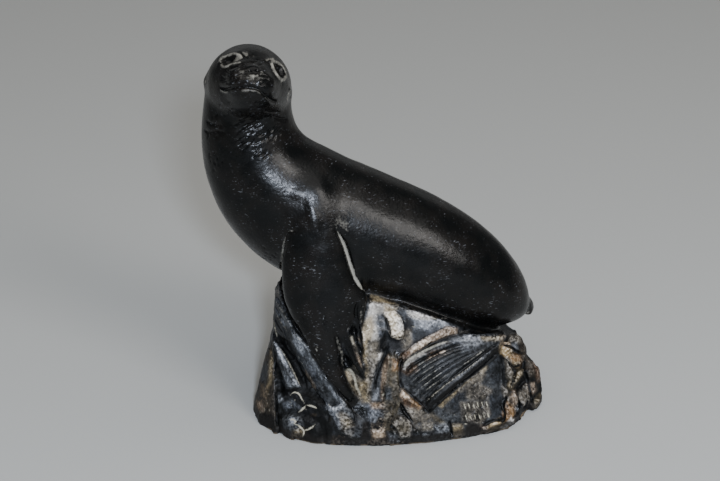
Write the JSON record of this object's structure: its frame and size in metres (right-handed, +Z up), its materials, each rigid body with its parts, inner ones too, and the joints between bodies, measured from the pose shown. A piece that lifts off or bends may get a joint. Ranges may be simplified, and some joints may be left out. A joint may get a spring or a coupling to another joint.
{
  "type": "stone sea lion carving",
  "caption": "Small carving in polished black soapstone: a sea lion with raised chest rests on its flippers on a rough rock, its head turned to the front.",
  "frame": {"origin": "middle of the bounding box at the flat underside", "axes": "+Z up from the underside to the crown, +X towards the tail, -Y towards the face of the animal"},
  "size_m": [0.0986, 0.055, 0.1105],
  "materials": {
    "black_soapstone": "waxed black soapstone, polished on the animal and tooled on the rock"
  },
  "bodies": {
    "root": {"sea_lion_on_rock": "black_soapstone"}
  },
  "joints": []
}
